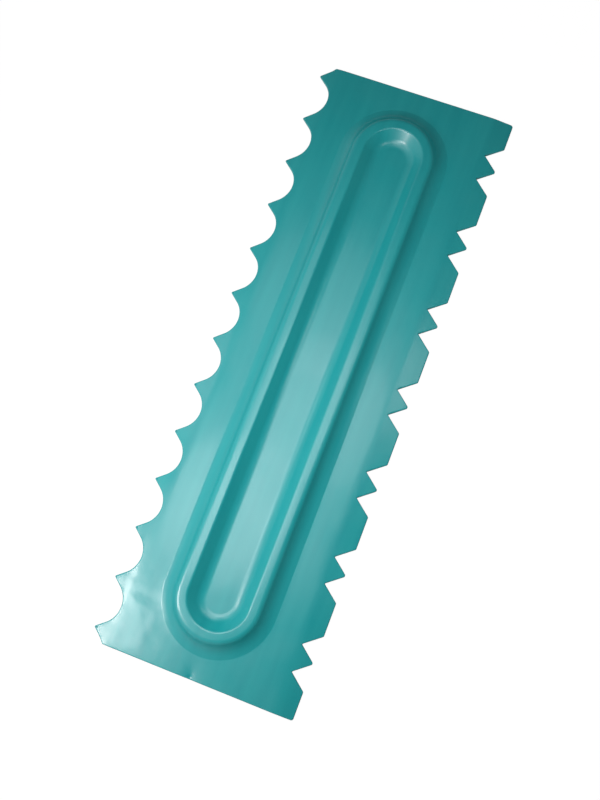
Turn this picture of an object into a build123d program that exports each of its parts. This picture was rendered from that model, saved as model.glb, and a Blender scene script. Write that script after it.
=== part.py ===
from build123d import *
from math import acos, cos, degrees, radians, sin, tan
import os

os.makedirs("parts", exist_ok=True)

# Icing smoother: one plastic moulding. A flat blade has a scalloped long edge, a notched long edge
# and two straight ends, and carries a raised grip rim round a finger pan, hollow from behind.
# It lies on its back: +Z leaves the front face, +Y runs along the blade, and the origin is at the
# middle of the back face. The scallops are on -X and the notches on +X.

# Blade, as wide as from the rounded scallop tips to the flats between the notches
blade_length = 225.0
blade_width = 74.0
blade_thickness = 2.0
edge_thickness = 1.0
bevel_width = 6.7
corner_radius = 0.8

# Scalloped edge: arcs with straight flanks that meet in rounded tips
scallop_pitch = 18.0
scallop_radius = 8.1
scallop_tip_angle = 78.0
tip_radius = 0.4

# Notched edge: the notches come in pairs with a pointed tooth between the two
notch_pair_pitch = 31.0
notch_end_margin = 9.0
notch_width = 9.6
notch_depth = 6.0
notch_root_radius = 0.3
notch_corner_radius = 0.7

# Grip rim: its width and its margin at the blade's ends are taken to its flat crest. Outside, the
# rounded edge of the crest runs straight into the fillet, and inside a sloping wall lies between.
rim_width = 26.6
rim_end_margin = 14.9
rim_height = 4.2
crest_width = 1.8
outer_edge_radius = 2.4
inner_edge_radius = 1.3
inner_wall_slope = 45.0
outer_fillet_radius = 7.5
inner_fillet_radius = 5.0
groove_corner_radius = 0.5

# Scar of the moulding gate, a shallow round hollow in the front edge of the lower end
gate_scar_width = 3.4
gate_scar_depth = 0.35

# Reach of a cutting shape past the stock that it cuts
overrun = 2.0


half_length = blade_length / 2
half_width = blade_width / 2

# Scallops: the flanks leave the edge line at flank_angle. Rounding takes tip_cut off each sharp
# tip, so the sharp tips lie that far outside the blade's width and the rounded ones reach it.
half_pitch = scallop_pitch / 2
flank_angle = 90 - scallop_tip_angle / 2
flank_slope = radians(flank_angle)
valley_centre_x = half_pitch * tan(flank_slope) - scallop_radius / cos(flank_slope)
tip_cut = tip_radius * (1 / cos(flank_slope) - 1)
scallop_count = int(blade_length // scallop_pitch) + 2

# Notches: the pairs fill the edge between the two end margins, centred
notch_root_x = half_width - notch_depth
notch_room = blade_length - 2 * notch_end_margin - 2 * notch_width
notch_pair_count = int(notch_room // notch_pair_pitch) + 1

# Grip rim: the line under the middle of its crest, and the crest's sides
rim_radius = (rim_width - crest_width) / 2
rim_run = blade_length - 2 * rim_end_margin - rim_width
crest_outer = rim_width / 2
crest_inner = crest_outer - crest_width
crest_level = blade_thickness + rim_height

# Outside of the rim: two arcs that touch where the surface is steepest
outer_radii = outer_edge_radius + outer_fillet_radius
outer_slope = degrees(acos(1 - rim_height / outer_radii))
outer_foot = crest_outer + outer_radii * sin(radians(outer_slope))

# Inside of the rim: a wall at inner_wall_slope between two arcs
inner_slope = radians(inner_wall_slope)
inner_radii = inner_edge_radius + inner_fillet_radius
inner_wall_rise = rim_height - inner_radii * (1 - cos(inner_slope))
inner_foot = crest_inner - inner_radii * sin(inner_slope) - inner_wall_rise / tan(inner_slope)

# Centres of the arcs, which the groove behind the rim shares, as the wall is as thick as the blade
outer_fillet_centre = (outer_foot, blade_thickness + outer_fillet_radius)
outer_edge_centre = (crest_outer, crest_level - outer_edge_radius)
inner_edge_centre = (crest_inner, crest_level - inner_edge_radius)
inner_fillet_centre = (inner_foot, blade_thickness + inner_fillet_radius)

# Groove: its flat top under the crest meets its inner wall in a corner
inner_groove_radius = inner_fillet_radius + blade_thickness
groove_level = rim_height
groove_wall_rise = groove_level - inner_groove_radius * (1 - cos(inner_slope))
groove_corner_run = inner_groove_radius * sin(inner_slope) + groove_wall_rise / tan(inner_slope)
groove_corner = (inner_foot + groove_corner_run, groove_level)

# Gap of one scallop, with the line of the sharp tips on X zero
with BuildSketch() as scallop_gap:
    with BuildLine():
        valley = CenterArc((valley_centre_x, 0), scallop_radius, -flank_angle, 2 * flank_angle)
        Polyline(
            valley @ 1,
            (0, half_pitch),
            (-overrun, half_pitch),
            (-overrun, -half_pitch),
            (0, -half_pitch),
            valley @ 0,
        )
    make_face()

# Gap of one notch, with the edge line on X zero
with BuildSketch() as notch_gap:
    with BuildLine():
        Polyline(
            (-notch_depth, 0),
            (0, notch_width / 2),
            (overrun, notch_width / 2),
            (overrun, -notch_width / 2),
            (0, -notch_width / 2),
            close=True,
        )
    make_face()

# Section of the grip rim, at the near end of its right-hand run
with BuildSketch(Plane.XZ.offset(rim_run / 2)) as rim_section:
    with BuildLine():
        Line((outer_foot, 0), (outer_foot, blade_thickness))
        CenterArc(outer_fillet_centre, outer_fillet_radius, 270, -outer_slope)
        CenterArc(outer_edge_centre, outer_edge_radius, 90 - outer_slope, outer_slope)
        Line((crest_outer, crest_level), (crest_inner, crest_level))
        inner_edge = CenterArc(inner_edge_centre, inner_edge_radius, 90, inner_wall_slope)
        inner_fillet = CenterArc(inner_fillet_centre, inner_fillet_radius, 270, inner_wall_slope)
        Line(inner_edge @ 1, inner_fillet @ 1)
        Line((inner_foot, blade_thickness), (inner_foot, 0))
        groove_side = CenterArc(inner_fillet_centre, inner_groove_radius, 270, inner_wall_slope)
        Polyline(groove_side @ 1, groove_corner, (crest_outer, groove_level))
        outer_groove_edge_radius = outer_edge_radius - blade_thickness
        CenterArc(outer_edge_centre, outer_groove_edge_radius, 90 - outer_slope, outer_slope)
        CenterArc(outer_fillet_centre, outer_fillet_radius + blade_thickness, 270, -outer_slope)
    make_face()
    fillet(rim_section.vertices().sort_by_distance(groove_corner)[0], radius=groove_corner_radius)

# Line that the rim follows: two straight runs joined by half circles
with BuildLine() as rim_path:
    Line((rim_radius, -rim_run / 2), (rim_radius, rim_run / 2))
    CenterArc((0, rim_run / 2), rim_radius, 0, 180)
    Line((-rim_radius, rim_run / 2), (-rim_radius, -rim_run / 2))
    CenterArc((0, -rim_run / 2), rim_radius, 180, 180)

with BuildPart() as icing_smoother:
    # Blade stock, thinned on its front towards both long edges
    bevel_start = half_width - bevel_width
    bevel_slope = (blade_thickness - edge_thickness) / bevel_width
    stock_side = half_width + overrun
    stock_side_level = edge_thickness - bevel_slope * overrun
    with BuildSketch(Plane.XZ):
        with BuildLine():
            Polyline(
                (-stock_side, 0),
                (stock_side, 0),
                (stock_side, stock_side_level),
                (bevel_start, blade_thickness),
                (-bevel_start, blade_thickness),
                (-stock_side, stock_side_level),
                close=True,
            )
        make_face()
    extrude(amount=half_length + overrun, both=True)

    # Outline, with a scalloped and a notched edge
    with BuildSketch() as outline:
        with Locations((-tip_cut / 2, 0)):
            Rectangle(blade_width + tip_cut, blade_length)
        with Locations((-half_width - tip_cut, 0)):
            with GridLocations(0, scallop_pitch, 1, scallop_count):
                add(scallop_gap.sketch, mode=Mode.SUBTRACT)
        with Locations((half_width, 0)):
            with GridLocations(0, notch_pair_pitch, 1, notch_pair_count):
                with GridLocations(0, notch_width, 1, 2):
                    add(notch_gap.sketch, mode=Mode.SUBTRACT)
        notch_corners = outline.vertices().group_by(Axis.X)[-1].sort_by(Axis.Y)[1:-1]
        fillet(notch_corners, radius=notch_corner_radius)
        notch_roots = outline.vertices().filter_by_position(
            Axis.X, notch_root_x - notch_root_radius, notch_root_x + notch_root_radius
        )
        fillet(notch_roots, radius=notch_root_radius)
        fillet(outline.vertices().group_by(Axis.X)[0], radius=tip_radius)
        lower_corners = outline.vertices().group_by(Axis.Y)[0]
        upper_corners = outline.vertices().group_by(Axis.Y)[-1]
        fillet(lower_corners + upper_corners, radius=corner_radius)
    extrude(amount=blade_thickness, mode=Mode.INTERSECT)

    # Grip: the rim takes the blade's place as far as its outer foot, round the floor of the pan
    with BuildSketch():
        SlotCenterToCenter(rim_run, 2 * outer_foot, rotation=90)
    extrude(amount=blade_thickness, mode=Mode.SUBTRACT)
    sweep(sections=rim_section.sketch, path=rim_path.line)
    with BuildSketch():
        SlotCenterToCenter(rim_run, 2 * inner_foot, rotation=90)
    extrude(amount=blade_thickness)

    # Scar of the gate
    scar_radius = (gate_scar_width**2 / 4 + gate_scar_depth**2) / (2 * gate_scar_depth)
    with Locations((0, -half_length, blade_thickness - gate_scar_depth + scar_radius)):
        Sphere(scar_radius, mode=Mode.SUBTRACT)

icing_smoother.part.label = "icing_smoother"
export_step(icing_smoother.part, "parts/icing_smoother.step")
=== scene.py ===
"""Icing smoother: the moulding's finished surface, its plastic, the light and the camera."""

from math import acos, atan2, ceil, cos, degrees, exp, hypot, pi, radians, sin, sqrt, tan

import bmesh
import bpy
from mathutils import Matrix, Vector, noise
from mathutils.geometry import delaunay_2d_cdt
from mathutils.kdtree import KDTree


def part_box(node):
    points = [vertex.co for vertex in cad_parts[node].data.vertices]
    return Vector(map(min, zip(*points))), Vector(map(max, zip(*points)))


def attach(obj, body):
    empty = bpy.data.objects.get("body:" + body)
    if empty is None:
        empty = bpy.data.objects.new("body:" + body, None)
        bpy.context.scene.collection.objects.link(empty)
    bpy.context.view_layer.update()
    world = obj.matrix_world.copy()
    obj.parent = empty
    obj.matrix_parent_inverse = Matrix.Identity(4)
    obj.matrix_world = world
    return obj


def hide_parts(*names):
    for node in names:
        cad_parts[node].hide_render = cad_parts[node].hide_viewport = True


NODE = "icing_smoother"
MM = 0.001

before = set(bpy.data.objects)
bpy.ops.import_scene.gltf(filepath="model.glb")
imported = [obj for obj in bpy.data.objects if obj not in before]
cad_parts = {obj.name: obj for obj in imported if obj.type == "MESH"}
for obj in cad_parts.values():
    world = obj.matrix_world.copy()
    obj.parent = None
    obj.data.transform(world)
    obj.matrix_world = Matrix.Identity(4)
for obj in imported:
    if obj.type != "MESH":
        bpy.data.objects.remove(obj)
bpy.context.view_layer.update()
node_low, node_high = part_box(NODE)

# Sizes in millimetres. The overall ones come from the frame, the rest are those of the moulding.
LENGTH = (node_high.y - node_low.y) / MM
WIDTH = (node_high.x - node_low.x) / MM
CREST = (node_high.z - node_low.z) / MM
THICKNESS = 2.0
EDGE_THICKNESS = 1.0
BEVEL_WIDTH = 6.7
CORNER_RADIUS = 0.8

SCALLOP_PITCH = 18.0
SCALLOP_RADIUS = 8.1
SCALLOP_TIP_ANGLE = 78.0
TIP_RADIUS = 0.4

NOTCH_PAIR_PITCH = 31.0
NOTCH_PAIRS = 7
NOTCH_WIDTH = 9.6
NOTCH_DEPTH = 6.0
NOTCH_ROOT_RADIUS = 0.3
NOTCH_CORNER_RADIUS = 0.7

RIM_WIDTH = 26.6
RIM_END_MARGIN = 14.9
CREST_WIDTH = 1.8
OUTER_EDGE_RADIUS = 2.4
INNER_EDGE_RADIUS = 1.3
INNER_WALL_SLOPE = 45.0
OUTER_FILLET_RADIUS = 7.5
INNER_FILLET_RADIUS = 5.0
GROOVE_CORNER_RADIUS = 0.5

# Finish of the real moulding that the solid leaves out: rounded edges with a narrow flat border, a
# soft crease where each bevel starts, and a crisp foot where the rim leaves the blade
FRONT_EDGE_RADIUS = 0.33
BACK_EDGE_RADIUS = 0.15
EDGE_BORDER = 0.08
CREASE_REACH = 1.3
FOOT_SLOPE = 20.0
FOOT_RADIUS = 1.2

HALF_LENGTH = LENGTH / 2
HALF_WIDTH = WIDTH / 2
BEVEL_START = HALF_WIDTH - BEVEL_WIDTH
RIM_HEIGHT = CREST - THICKNESS
RUN_HALF = (LENGTH - 2 * RIM_END_MARGIN - RIM_WIDTH) / 2

# Outside of the rim, where two arcs touch, and inside, where a sloping wall joins them. The crisp
# foot of the front lies a little nearer to the crest than the foot of the back.
CREST_OUTER = RIM_WIDTH / 2
CREST_INNER = CREST_OUTER - CREST_WIDTH
OUTER_RADII = OUTER_EDGE_RADIUS + OUTER_FILLET_RADIUS
OUTER_SLOPE = degrees(acos(1 - RIM_HEIGHT / OUTER_RADII))
OUTER_FOOT = CREST_OUTER + OUTER_RADII * sin(radians(OUTER_SLOPE))
FRONT_FOOT = OUTER_FOOT - (OUTER_FILLET_RADIUS - FOOT_RADIUS) * tan(radians(FOOT_SLOPE / 2))
INNER_SLOPE = radians(INNER_WALL_SLOPE)
INNER_RADII = INNER_EDGE_RADIUS + INNER_FILLET_RADIUS
INNER_RISE = RIM_HEIGHT - INNER_RADII * (1 - cos(INNER_SLOPE))
INNER_FOOT = CREST_INNER - INNER_RADII * sin(INNER_SLOPE) - INNER_RISE / tan(INNER_SLOPE)


# Outline of the blade

OUTLINE_STEP = 1.0
OUTLINE_ARC_STEP = 0.3
LEAST_ARC_STEPS = 4


def outline_arcs():
    """Every rounding of the outline, anticlockwise, as centre x and y, radius, first and last
    direction in degrees, and 1 where it is convex or -1 where it is hollow."""
    arcs = []
    corner_x = HALF_WIDTH - CORNER_RADIUS
    corner_y = HALF_LENGTH - CORNER_RADIUS
    arcs.append((corner_x, -corner_y, CORNER_RADIUS, -90, 0, 1))

    side = degrees(atan2(NOTCH_DEPTH, NOTCH_WIDTH / 2))
    shoulder = NOTCH_CORNER_RADIUS * tan(radians(side / 2))
    tip_x = HALF_WIDTH - NOTCH_CORNER_RADIUS / cos(radians(side))
    root_x = HALF_WIDTH - NOTCH_DEPTH + NOTCH_ROOT_RADIUS / cos(radians(side))
    for pair in range(NOTCH_PAIRS):
        middle = (pair - (NOTCH_PAIRS - 1) / 2) * NOTCH_PAIR_PITCH
        flat_x = HALF_WIDTH - NOTCH_CORNER_RADIUS
        arcs.append((flat_x, middle - NOTCH_WIDTH - shoulder, NOTCH_CORNER_RADIUS, 0, side, 1))
        arcs.append((root_x, middle - NOTCH_WIDTH / 2, NOTCH_ROOT_RADIUS, 180 + side, 180 - side, -1))
        arcs.append((tip_x, middle, NOTCH_CORNER_RADIUS, -side, side, 1))
        arcs.append((root_x, middle + NOTCH_WIDTH / 2, NOTCH_ROOT_RADIUS, 180 + side, 180 - side, -1))
        arcs.append((flat_x, middle + NOTCH_WIDTH + shoulder, NOTCH_CORNER_RADIUS, -side, 0, 1))
    arcs.append((corner_x, corner_y, CORNER_RADIUS, 0, 90, 1))

    flank = 90 - SCALLOP_TIP_ANGLE / 2
    slope = radians(flank)
    sharp_x = -HALF_WIDTH - TIP_RADIUS * (1 / cos(slope) - 1)
    valley_x = sharp_x + SCALLOP_PITCH / 2 * tan(slope) - SCALLOP_RADIUS / cos(slope)
    scallop_tip_x = -HALF_WIDTH + TIP_RADIUS
    tips = int(HALF_LENGTH // SCALLOP_PITCH)
    end_valley_y = (tips + 0.5) * SCALLOP_PITCH
    reach = SCALLOP_RADIUS + CORNER_RADIUS
    end_corner_x = valley_x + sqrt(reach**2 - (end_valley_y - corner_y) ** 2)
    meeting = degrees(atan2(end_valley_y - corner_y, end_corner_x - valley_x))
    arcs.append((end_corner_x, corner_y, CORNER_RADIUS, 90, 180 - meeting, 1))
    arcs.append((valley_x, end_valley_y, SCALLOP_RADIUS, -meeting, -flank, -1))
    for step in range(tips, -tips - 1, -1):
        tip_y = step * SCALLOP_PITCH
        arcs.append((scallop_tip_x, tip_y, TIP_RADIUS, 180 - flank, 180 + flank, 1))
        if step > -tips:
            arcs.append((valley_x, tip_y - SCALLOP_PITCH / 2, SCALLOP_RADIUS, flank, -flank, -1))
    arcs.append((valley_x, -end_valley_y, SCALLOP_RADIUS, flank, meeting, -1))
    arcs.append((end_corner_x, -corner_y, CORNER_RADIUS, 180 + meeting, 270, 1))
    return arcs


def outline_points():
    """Points of the outline with their outward normals, anticlockwise."""
    rounded = []
    for x, y, radius, first, last, side in outline_arcs():
        run = radius * abs(radians(last - first))
        steps = max(LEAST_ARC_STEPS, ceil(run / OUTLINE_ARC_STEP))
        stretch = []
        for k in range(steps + 1):
            angle = radians(first + (last - first) * k / steps)
            outward = Vector((cos(angle), sin(angle)))
            stretch.append((Vector((x, y)) + outward * radius, outward * side))
        rounded.append(stretch)
    points = []
    for stretch, following in zip(rounded, rounded[1:] + rounded[:1]):
        points += stretch
        (start, normal), (stop, _) = stretch[-1], following[0]
        steps = max(1, round((stop - start).length / OUTLINE_STEP))
        points += [(start.lerp(stop, k / steps), normal) for k in range(1, steps)]
    return points


# Heights of the front face

BEVEL_SLOPE = (THICKNESS - EDGE_THICKNESS) / BEVEL_WIDTH

GATE_SCAR_WIDTH = 3.4
GATE_SCAR_DEPTH = 0.18
GATE_SINK_DEPTH = 0.15
GATE_SINK_REACH = 2.8

# A fan-shaped dip leaves the gate: its direction from the middle line and its spread in degrees,
# its depth, and where it starts and how slowly it fades
GATE_FAN_DIRECTION = -8.0
GATE_FAN_SPREAD = 32.0
GATE_FAN_DEPTH = 0.2
GATE_FAN_START = 1.0
GATE_FAN_LENGTH = 4.0

# Waves of the front face, as height and as length across and along the blade
SLOW_WAVE = (0.05, 26.0, 30.0)
RIPPLE = (0.012, 4.0, 11.0)
EDGE_STREAK = (0.1, 3.0, 15.0)
EDGE_STREAK_REACH = 9.0
CORNER_FOLD = (0.17, 6.5, 5.0)
CORNER_FOLD_PLACE = (-28.0, -98.0)
CORNER_FOLD_REACH = 15.0


def front_level(x):
    """Height of the blade's front face as drawn, which falls towards both long edges from a soft
    crease."""
    past = abs(x) - BEVEL_START
    if past < -CREASE_REACH:
        return THICKNESS
    if past > CREASE_REACH:
        return THICKNESS - BEVEL_SLOPE * past
    return THICKNESS - BEVEL_SLOPE * (past + CREASE_REACH) ** 2 / (4 * CREASE_REACH)


def wave(kind, x, y):
    """A hollow of no fixed shape, from nothing to twice the wave's height deep."""
    height, across, along = kind
    return height * (1 - noise.noise(Vector((x / across, y / along, height))))


def fold(kind, x, y):
    """A hollow of no fixed shape with creases in it, up to the fold's height deep."""
    height, across, along = kind
    return height * abs(noise.noise(Vector((x / across, y / along, height))))


def gate_mark(x, y):
    """Depth of the gate's scar, of the sink round it and of the fan-shaped dip that leaves it."""
    from_gate = hypot(x, y + HALF_LENGTH)
    scar_radius = (GATE_SCAR_WIDTH**2 / 4 + GATE_SCAR_DEPTH**2) / (2 * GATE_SCAR_DEPTH)
    depth = max(0.0, GATE_SCAR_DEPTH - from_gate**2 / (2 * scar_radius))
    depth += GATE_SINK_DEPTH * exp(-((from_gate / GATE_SINK_REACH) ** 2))
    off = (degrees(atan2(x, y + HALF_LENGTH)) - GATE_FAN_DIRECTION) / GATE_FAN_SPREAD
    fade = min(1, from_gate / GATE_FAN_START) * exp(-from_gate / GATE_FAN_LENGTH)
    depth += GATE_FAN_DEPTH * fade * exp(-(off**2))
    return depth


def front(x, y):
    """Height of the blade's front face with its small faults: the gate mark, and the waves that
    shrinkage leaves, stronger along the toothed edges and in the lower left corner."""
    near_edge = max(0.0, min(1.0, 1 - (HALF_WIDTH - abs(x)) / EDGE_STREAK_REACH))
    corner_x, corner_y = CORNER_FOLD_PLACE
    near_corner = exp(-(hypot(x - corner_x, y - corner_y) / CORNER_FOLD_REACH) ** 2)
    depth = wave(SLOW_WAVE, x, y) + wave(RIPPLE, x, y)
    depth += near_edge * wave(EDGE_STREAK, x, y) + near_corner * fold(CORNER_FOLD, x, y)
    return front_level(x) - depth - gate_mark(x, y)


# Mesh of the moulding

# Spacing of its points in millimetres
FRONT_GRID = 1.25
GATE_GRID = 0.35
GATE_GRID_REACH = 5.0
RUN_STEP = 1.8

# Steps of its arcs, and across half of the pan's floor
FLOOR_STEPS = 4
END_STEPS = 64
EDGE_STEPS = 4
FOOT_STEPS = 4
FILLET_STEPS = 18
CREST_STEPS = 10
GROOVE_STEPS = 12
GROOVE_EDGE_STEPS = 6

# Distances below which a point counts as on a line, two plan points as one and two vertices as one
MERGE = 0.01
PLAN_MERGE = 0.00001
WELD = 0.001


class Shell:
    """Collects vertices and faces in millimetres, and welds them into one mesh in metres."""

    def __init__(self):
        self.points = []
        self.faces = []

    def ring(self, points):
        """Adds points and returns their numbers."""
        first = len(self.points)
        self.points += points
        return list(range(first, len(self.points)))

    def strip(self, one, other):
        """Adds quads between two closed rings of as many points."""
        count = len(one)
        for k in range(count):
            after = (k + 1) % count
            self.faces.append((one[k], one[after], other[after], other[k]))

    def mesh(self, name):
        mesh = bpy.data.meshes.new(name)
        mesh.from_pydata([Vector(p) * MM for p in self.points], [], self.faces)
        shape = bmesh.new()
        shape.from_mesh(mesh)
        bmesh.ops.remove_doubles(shape, verts=shape.verts, dist=WELD * MM)
        bmesh.ops.recalc_face_normals(shape, faces=shape.faces)
        shape.to_mesh(mesh)
        shape.free()
        return mesh


def stadium(radius):
    """Points at one distance from the grip's middle line, anticlockwise from its lower right."""
    run_steps = ceil(2 * RUN_HALF / RUN_STEP)
    ups = [-RUN_HALF + 2 * RUN_HALF * k / run_steps for k in range(run_steps)]
    turns = [pi * k / END_STEPS for k in range(END_STEPS)]
    points = [(radius, y) for y in ups]
    points += [(radius * cos(t), RUN_HALF + radius * sin(t)) for t in turns]
    points += [(-radius, -y) for y in ups]
    points += [(-radius * cos(t), -RUN_HALF - radius * sin(t)) for t in turns]
    return points


def back(x, y):
    """Height of the flat back face."""
    return 0.0


def from_middle(x, y):
    """Distance from the grip's middle line."""
    return hypot(x, y - max(-RUN_HALF, min(RUN_HALF, y)))


def arc(centre, radius, first, last, steps):
    """Points on an arc, by direction in degrees."""
    turn = [radians(first + (last - first) * k / steps) for k in range(steps + 1)]
    return [(centre[0] + radius * cos(t), centre[1] + radius * sin(t)) for t in turn]


def front_profile():
    """Front of the rim's section, from its outer foot over the crest to its inner foot, as
    distance from the middle line and height."""
    outer_fillet = (OUTER_FOOT, THICKNESS + OUTER_FILLET_RADIUS)
    outer_edge = (CREST_OUTER, CREST - OUTER_EDGE_RADIUS)
    inner_edge = (CREST_INNER, CREST - INNER_EDGE_RADIUS)
    inner_fillet = (INNER_FOOT, THICKNESS + INNER_FILLET_RADIUS)
    foot = (FRONT_FOOT, THICKNESS + FOOT_RADIUS)
    profile = arc(foot, FOOT_RADIUS, 270, 270 - FOOT_SLOPE, FOOT_STEPS)[:-1]
    foot_end, fillet_end = 270 - FOOT_SLOPE, 270 - OUTER_SLOPE
    profile += arc(outer_fillet, OUTER_FILLET_RADIUS, foot_end, fillet_end, FILLET_STEPS)
    profile += arc(outer_edge, OUTER_EDGE_RADIUS, 90 - OUTER_SLOPE, 90, CREST_STEPS)[1:]
    profile += arc(inner_edge, INNER_EDGE_RADIUS, 90, 90 + INNER_WALL_SLOPE, CREST_STEPS)
    profile += arc(inner_fillet, INNER_FILLET_RADIUS, INNER_WALL_SLOPE - 90, -90, FILLET_STEPS)
    return profile


def back_profile():
    """Groove behind the rim, from its inner foot over its flat top to its outer foot."""
    level = CREST - THICKNESS
    inner_radius = INNER_FILLET_RADIUS + THICKNESS
    inner_fillet = (INNER_FOOT, inner_radius)
    outer_fillet = (OUTER_FOOT, OUTER_FILLET_RADIUS + THICKNESS)
    outer_edge = (CREST_OUTER, CREST - OUTER_EDGE_RADIUS)
    profile = arc(inner_fillet, inner_radius, -90, INNER_WALL_SLOPE - 90, GROOVE_STEPS)
    x, y = profile[-1]
    corner_x = x + (level - y) / tan(INNER_SLOPE)
    corner = (corner_x + GROOVE_CORNER_RADIUS * tan(INNER_SLOPE / 2), level - GROOVE_CORNER_RADIUS)
    profile += arc(corner, GROOVE_CORNER_RADIUS, 90 + INNER_WALL_SLOPE, 90, GROOVE_EDGE_STEPS)
    edge_radius = OUTER_EDGE_RADIUS - THICKNESS
    profile += arc(outer_edge, edge_radius, 90, 90 - OUTER_SLOPE, GROOVE_EDGE_STEPS)
    profile += arc(outer_fillet, outer_fillet[1], 270 - OUTER_SLOPE, 270, GROOVE_STEPS)[1:]
    return profile


def sheet(shell, loops, extra, keep, level, upward):
    """Triangulates a flat region between closed loops of plan points, with extra points inside,
    and lifts each vertex to its level."""
    plan, edges = [], []
    for loop in loops:
        first = len(plan)
        plan += [Vector(p) for p in loop]
        edges += [(first + k, first + (k + 1) % len(loop)) for k in range(len(loop))]
    plan += [Vector(p) for p in extra]
    points, _, triangles, *_ = delaunay_2d_cdt(plan, edges, [], 1, PLAN_MERGE)
    index = shell.ring([(p.x, p.y, level(p.x, p.y)) for p in points])
    for triangle in triangles:
        middle = sum((points[k] for k in triangle), Vector((0, 0))) / len(triangle)
        if keep(middle.x, middle.y):
            turn = triangle if upward else reversed(triangle)
            shell.faces.append(tuple(index[k] for k in turn))


def blade_grid(outline, step, margin):
    """A grid of plan points on the blade, at least a margin off the rim and off the outline."""
    tree = KDTree(len(outline))
    for k, (point, _) in enumerate(outline):
        tree.insert(point.to_3d(), k)
    tree.balance()
    count_x, count_y = int(HALF_WIDTH // step), int(HALF_LENGTH // step)
    grid = []
    for i in range(-count_x, count_x + 1):
        for j in range(-count_y, count_y + 1):
            place = Vector((i * step, j * step))
            _, k, distance = tree.find(place.to_3d())
            point, normal = outline[k]
            inside = distance > margin and (place - point).dot(normal) < 0
            off_gate = hypot(place.x, place.y + HALF_LENGTH) > GATE_GRID_REACH + margin
            if inside and off_gate and from_middle(*place) > OUTER_FOOT + margin:
                grid.append(place)
    return grid


def gate_grid(step):
    """Plan points in half rings round the gate scar, off the blade's edge."""
    points = []
    for ring in range(1, int(GATE_GRID_REACH // step) + 1):
        radius = step * ring
        for k in range(1, 3 * ring):
            turn = pi * k / (3 * ring)
            if radius * sin(turn) > FRONT_EDGE_RADIUS + EDGE_BORDER + step / 3:
                points.append(Vector((radius * cos(turn), radius * sin(turn) - HALF_LENGTH)))
    return points


def build_moulding():
    shell = Shell()
    outline = outline_points()

    def on_front(x, y):
        return from_middle(x, y) > FRONT_FOOT - MERGE

    def on_blade(x, y):
        return from_middle(x, y) > OUTER_FOOT - MERGE

    def on_floor(x, y):
        return from_middle(x, y) < INNER_FOOT + MERGE

    def border(inset, level, offset=0.0):
        places = [p - n * inset for p, n in outline]
        return shell.ring([(p.x, p.y, level(p.x, p.y) + offset) for p in places])

    # Rounded edge of the blade, from a narrow border on the front face round to one on the back
    turns = [pi / 2 * k / EDGE_STEPS for k in range(EDGE_STEPS + 1)]
    rings = [border(FRONT_EDGE_RADIUS + EDGE_BORDER, front)]
    for turn in turns:
        drop = FRONT_EDGE_RADIUS * (1 - cos(turn))
        inset = FRONT_EDGE_RADIUS * (1 - sin(turn))
        rings.append(border(inset, front, -drop))
    for turn in turns:
        rise = BACK_EDGE_RADIUS * (1 - sin(turn))
        rings.append(border(BACK_EDGE_RADIUS * (1 - cos(turn)), back, rise))
    rings.append(border(BACK_EDGE_RADIUS + EDGE_BORDER, back))
    for one, other in zip(rings, rings[1:]):
        shell.strip(other, one)

    # Front face of the blade and floor of the finger pan
    front_loop = [p - n * (FRONT_EDGE_RADIUS + EDGE_BORDER) for p, n in outline]
    outer_loop, inner_loop = stadium(OUTER_FOOT), stadium(INNER_FOOT)
    grid = blade_grid(outline, FRONT_GRID, FRONT_GRID / 2) + gate_grid(GATE_GRID)
    sheet(shell, [front_loop, stadium(FRONT_FOOT)], grid, on_front, front, True)
    floor_x = [INNER_FOOT * k / FLOOR_STEPS for k in range(1 - FLOOR_STEPS, FLOOR_STEPS)]
    floor_count = int(RUN_HALF // FRONT_GRID)
    floor_y = [FRONT_GRID * j for j in range(-floor_count, floor_count + 1)]
    floor_grid = [(x, y) for x in floor_x for y in floor_y]
    sheet(shell, [inner_loop], floor_grid, on_floor, front, True)

    # Rim, front and back
    sweep(shell, front_profile(), front, THICKNESS)
    sweep(shell, back_profile(), back, 0)

    # Flat back
    back_loop = [p - n * (BACK_EDGE_RADIUS + EDGE_BORDER) for p, n in outline]
    sheet(shell, [back_loop, outer_loop], [], on_blade, back, False)
    sheet(shell, [inner_loop], [], on_floor, back, False)
    return shell.mesh("moulding")


def sweep(shell, profile, surface, level):
    """Carries a section of the rim round the grip. It has the small faults of a face of the blade,
    which are how far that surface is from its level as drawn."""
    rings = []
    for radius, height in profile:
        ring = []
        for x, y in stadium(radius):
            fault = surface(x, y) - level
            ring.append((x, y, height + fault))
        rings.append(shell.ring(ring))
    for one, other in zip(rings, rings[1:]):
        shell.strip(one, other)


# Plastic

PLASTIC = (0.004, 0.335, 0.357, 1.0)
PLASTIC_PALE = (0.010, 0.37, 0.386, 1.0)

# Roughness at the glossiest and the dullest, and the size of the patches in metres
GLOSS_ROUGHNESS = 0.285
DULL_ROUGHNESS = 0.36
GLOSS_PATCH = 0.011

# Colour streaks, orange peel and fine scratches, as size across and along the blade in metres.
# The scratches lie in one place on the floor of the pan.
COLOUR_STREAK = (0.004, 0.045)
PEEL = (0.0018, 0.0024)
PEEL_HEIGHT = 0.00002
SCRATCH = (0.006, 0.0004)
SCRATCH_HEIGHT = 0.00001
SCRATCH_SHARE = 0.56
SCRATCH_FADE = 0.1
SCRATCH_PLACE = (-0.002, -0.029, 0.002)
SCRATCH_REACH = 0.009

# Stretch of a noise that is spread over the whole of its effect
NOISE_LOW = 0.3
NOISE_HIGH = 0.7

# Gloss, of the plastic and of the smooth skin on it
SPECULAR_LEVEL = 0.86
COAT_WEIGHT = 0.25
COAT_ROUGHNESS = 0.12


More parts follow.
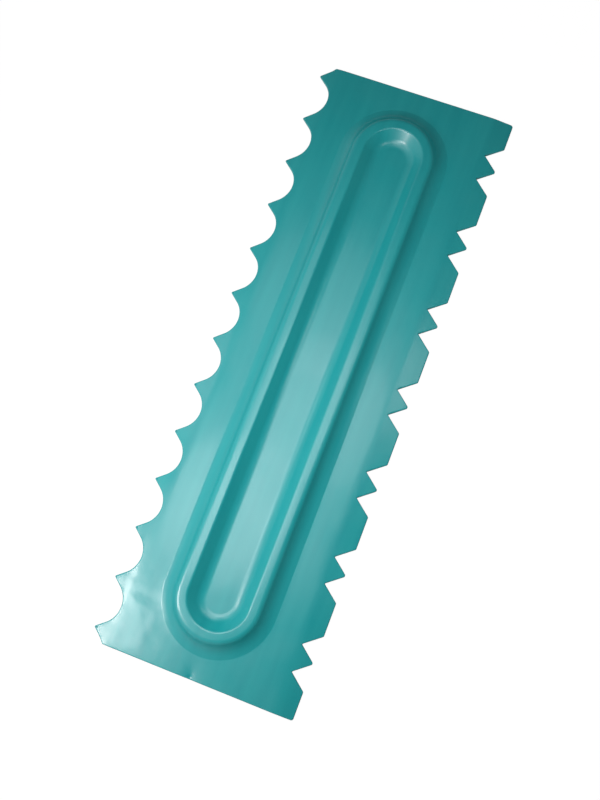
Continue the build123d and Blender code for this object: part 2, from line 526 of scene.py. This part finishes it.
def plastic_material():
    """Teal plastic, glossy in patches, with an orange peel and fine scratches across the blade."""
    material = bpy.data.materials.new("teal_plastic")
    material.use_nodes = True
    nodes, links = material.node_tree.nodes, material.node_tree.links
    shader = nodes["Principled BSDF"]
    place = nodes.new("ShaderNodeTexCoord").outputs["Object"]

    def grain(across, along, detail):
        """Noise with grains of the given size, stretched across or along the blade."""
        stretch = nodes.new("ShaderNodeMapping")
        stretch.inputs["Scale"].default_value = (1 / across, 1 / along, 1 / along)
        links.new(place, stretch.inputs["Vector"])
        texture = nodes.new("ShaderNodeTexNoise")
        texture.inputs["Scale"].default_value = 1.0
        texture.inputs["Detail"].default_value = detail
        links.new(stretch.outputs["Vector"], texture.inputs["Vector"])
        return texture.outputs["Fac"]

    def spread(value, first, last, low, high):
        """Maps the stretch of a value from first to last onto low to high."""
        scale = nodes.new("ShaderNodeMapRange")
        ends = {"From Min": first, "From Max": last, "To Min": low, "To Max": high}
        for name, number in ends.items():
            scale.inputs[name].default_value = number
        links.new(value, scale.inputs["Value"])
        return scale.outputs["Result"]

    def bump(height, distance, below=None):
        """Relief of the given height, on top of the relief below it."""
        relief = nodes.new("ShaderNodeBump")
        relief.inputs["Distance"].default_value = distance
        links.new(height, relief.inputs["Height"])
        if below:
            links.new(below, relief.inputs["Normal"])
        return relief.outputs["Normal"]

    colour = nodes.new("ShaderNodeMix")
    colour.data_type = "RGBA"
    colour.inputs["A"].default_value = PLASTIC
    colour.inputs["B"].default_value = PLASTIC_PALE
    streaks = spread(grain(*COLOUR_STREAK, 2), NOISE_LOW, NOISE_HIGH, 0, 1)
    links.new(streaks, colour.inputs["Factor"])
    links.new(colour.outputs["Result"], shader.inputs["Base Color"])

    patches = grain(GLOSS_PATCH, GLOSS_PATCH, 3)
    dullness = spread(patches, NOISE_LOW, NOISE_HIGH, GLOSS_ROUGHNESS, DULL_ROUGHNESS)
    links.new(dullness, shader.inputs["Roughness"])

    away = nodes.new("ShaderNodeVectorMath")
    away.operation = "DISTANCE"
    away.inputs[1].default_value = SCRATCH_PLACE
    links.new(place, away.inputs[0])
    near = spread(away.outputs["Value"], 0, SCRATCH_REACH, 1, 0)
    scratches = nodes.new("ShaderNodeMath")
    scratches.operation = "MULTIPLY"
    lines = spread(grain(*SCRATCH, 1), SCRATCH_SHARE, SCRATCH_SHARE + SCRATCH_FADE, 0, 1)
    links.new(lines, scratches.inputs[0])
    links.new(near, scratches.inputs[1])
    relief = bump(grain(*PEEL, 2), PEEL_HEIGHT)
    relief = bump(scratches.outputs["Value"], SCRATCH_HEIGHT, relief)
    links.new(relief, shader.inputs["Normal"])

    shader.inputs["Specular IOR Level"].default_value = SPECULAR_LEVEL
    shader.inputs["Coat Weight"].default_value = COAT_WEIGHT
    shader.inputs["Coat Roughness"].default_value = COAT_ROUGHNESS
    return material


# Stage, light and camera

# Lamps, as place and width in millimetres and power in watts
CORNER_LAMP = ((-111, -103, 160), 34, 0.076)
LOW_CORNER_LAMP = ((-126, -140, 150), 34, 0.078)
LOWER_LAMP = ((-68, -115, 150), 40, 0.045)
MIDDLE_LAMP = ((-30, -48, 130), 70, 0.048)
UPPER_LAMP = ((-5, 10, 130), 70, 0.031)
TOP_LAMP = ((-28, 60, 130), 70, 0.012)
LEFT_LAMP = ((-118, 12, 150), 60, 0.016)
SIDE_LAMP = ((66, 38, 140), 50, 0.015)
LAMP_TARGET = (0.0, -20.0, 0.0)
WHITE = (1.0, 1.0, 1.0)
WARM_WHITE = (1.0, 0.88, 0.86)

# Floor, just below the blade, in metres: its grey, and the glow that makes it white for the camera
FLOOR_HALF = 2.0
FLOOR_LEVEL = -0.00005
FLOOR_GREY = (0.85, 0.85, 0.85, 1.0)
FLOOR_ROUGHNESS = 0.9
FLOOR_GLOW = 1.05
FLOOR_GLOW_SHARE = 0.93

# Painted reflection: what the gloss mirrors of the floor is a glow that falls from the scallops' side
# to the notches' side
PAINTED_REFLECTION_REACH = 0.05
PAINTED_REFLECTION_PALE = 0.6
PAINTED_REFLECTION_DARK = 0.05

# Light of the room on the blade, and what the gloss mirrors of its walls
ROOM_LIGHT = 0.27
DARK_WALL_LIGHT = 0.05
PALE_WALL_LIGHT = 0.8
WALL_DIRECTION = (-0.8, -0.6, 0.0)

# Camera in millimetres and degrees
CAMERA_PLACE = (49.95, -75.40, 367.75)
CAMERA_TARGET = (0.56, -10.67, 2.0)
CAMERA_ROLL = 21.33
CAMERA_LENS = 48.19
SENSOR_WIDTH = 36.0


def aim(obj, place, target, roll=0.0):
    """Puts obj at place, looking along its -Z at target, turned by roll degrees."""
    backward = (Vector(place) - Vector(target)).normalized()
    right = Vector((0, 1, 0)).cross(backward).normalized()
    matrix = Matrix((right, backward.cross(right), backward)).transposed().to_4x4()
    matrix = matrix @ Matrix.Rotation(radians(roll), 4, "Z")
    matrix.translation = Vector(place) * MM
    obj.matrix_world = matrix


def add_floor():
    """White floor that catches the shadow. For glossy rays it glows as a painted reflection, which
    darkens towards +X.
    """
    mesh = bpy.data.meshes.new("floor")
    signs = ((-1, -1), (1, -1), (1, 1), (-1, 1))
    corners = [(x * FLOOR_HALF, y * FLOOR_HALF, FLOOR_LEVEL) for x, y in signs]
    mesh.from_pydata(corners, [], [(0, 1, 2, 3)])
    floor = bpy.data.objects.new("floor", mesh)
    bpy.context.scene.collection.objects.link(floor)
    material = bpy.data.materials.new("floor")
    material.use_nodes = True
    nodes, links = material.node_tree.nodes, material.node_tree.links
    path = nodes.new("ShaderNodeLightPath")

    def mix(share, first, second):
        blend = nodes.new("ShaderNodeMixShader")
        for number, source in enumerate((share, first, second)):
            links.new(source, blend.inputs[number])
        return blend.outputs[0]

    shader = nodes["Principled BSDF"]
    shader.inputs["Base Color"].default_value = FLOOR_GREY
    shader.inputs["Roughness"].default_value = FLOOR_ROUGHNESS
    share = nodes.new("ShaderNodeMath")
    share.operation = "MULTIPLY"
    share.inputs[1].default_value = FLOOR_GLOW_SHARE
    links.new(path.outputs["Is Camera Ray"], share.inputs[0])
    glow = nodes.new("ShaderNodeEmission")
    glow.inputs["Strength"].default_value = FLOOR_GLOW
    seen = mix(share.outputs[0], shader.outputs[0], glow.outputs[0])

    # Painted reflection: the floor's glow for glossy rays, pale at -X and dark at +X
    place = nodes.new("ShaderNodeSeparateXYZ")
    links.new(nodes.new("ShaderNodeTexCoord").outputs["Object"], place.inputs[0])
    across = nodes.new("ShaderNodeMapRange")
    across.inputs["From Min"].default_value = PAINTED_REFLECTION_REACH
    across.inputs["From Max"].default_value = -PAINTED_REFLECTION_REACH
    across.inputs["To Min"].default_value = PAINTED_REFLECTION_DARK
    across.inputs["To Max"].default_value = PAINTED_REFLECTION_PALE
    links.new(place.outputs["X"], across.inputs["Value"])
    mirrored = nodes.new("ShaderNodeEmission")
    links.new(across.outputs["Result"], mirrored.inputs["Strength"])
    surface = mix(path.outputs["Is Glossy Ray"], seen, mirrored.outputs[0])
    links.new(surface, nodes["Material Output"].inputs["Surface"])
    mesh.materials.append(material)


def add_lamp(name, place, size, power, colour=WHITE):
    """A round soft lamp that faces the middle of the blade."""
    data = bpy.data.lights.new(name, "AREA")
    data.shape = "DISK"
    data.size = size * MM
    data.energy = power
    data.color = colour
    lamp = bpy.data.objects.new(name, data)
    bpy.context.scene.collection.objects.link(lamp)
    aim(lamp, place, LAMP_TARGET)
    lamp.visible_camera = False


def set_world():
    """White ground for the camera and soft room light on the blade, whose gloss mirrors a pale
    wall on the side of the scallops and a dark one across from it."""
    world = bpy.data.worlds.new("studio")
    bpy.context.scene.world = world
    world.use_nodes = True
    nodes, links = world.node_tree.nodes, world.node_tree.links
    direction = nodes.new("ShaderNodeTexCoord")
    facing = nodes.new("ShaderNodeVectorMath")
    facing.operation = "DOT_PRODUCT"
    facing.inputs[1].default_value = WALL_DIRECTION
    links.new(direction.outputs["Generated"], facing.inputs[0])
    wall = nodes.new("ShaderNodeMapRange")
    wall.inputs["To Min"].default_value = DARK_WALL_LIGHT
    wall.inputs["To Max"].default_value = PALE_WALL_LIGHT
    links.new(facing.outputs["Value"], wall.inputs["Value"])
    path = nodes.new("ShaderNodeLightPath")

    def choice(seen_by):
        mix = nodes.new("ShaderNodeMix")
        mix.data_type = "FLOAT"
        links.new(path.outputs[seen_by], mix.inputs["Factor"])
        return mix

    mirrored = choice("Is Glossy Ray")
    mirrored.inputs["A"].default_value = ROOM_LIGHT
    links.new(wall.outputs["Result"], mirrored.inputs["B"])
    seen = choice("Is Camera Ray")
    seen.inputs["B"].default_value = 1.0
    links.new(mirrored.outputs["Result"], seen.inputs["A"])
    background = nodes["Background"]
    background.inputs["Color"].default_value = (*WHITE, 1)
    links.new(seen.outputs["Result"], background.inputs["Strength"])


def add_camera():
    data = bpy.data.cameras.new("camera")
    data.sensor_width = SENSOR_WIDTH
    data.lens = CAMERA_LENS
    camera = bpy.data.objects.new("camera", data)
    bpy.context.scene.collection.objects.link(camera)
    aim(camera, CAMERA_PLACE, CAMERA_TARGET, CAMERA_ROLL)
    bpy.context.scene.camera = camera


mesh = build_moulding()
for polygon in mesh.polygons:
    polygon.use_smooth = True
moulding = bpy.data.objects.new("moulding", mesh)
bpy.context.scene.collection.objects.link(moulding)
mesh.materials.append(plastic_material())
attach(moulding, "root")
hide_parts(NODE)

add_floor()
set_world()
add_lamp("corner_lamp", *CORNER_LAMP, WARM_WHITE)
add_lamp("low_corner_lamp", *LOW_CORNER_LAMP, WARM_WHITE)
add_lamp("lower_lamp", *LOWER_LAMP)
add_lamp("middle_lamp", *MIDDLE_LAMP)
add_lamp("upper_lamp", *UPPER_LAMP)
add_lamp("top_lamp", *TOP_LAMP)
add_lamp("left_lamp", *LEFT_LAMP)
add_lamp("side_lamp", *SIDE_LAMP)
add_camera()
bpy.context.scene.view_settings.view_transform = "Standard"
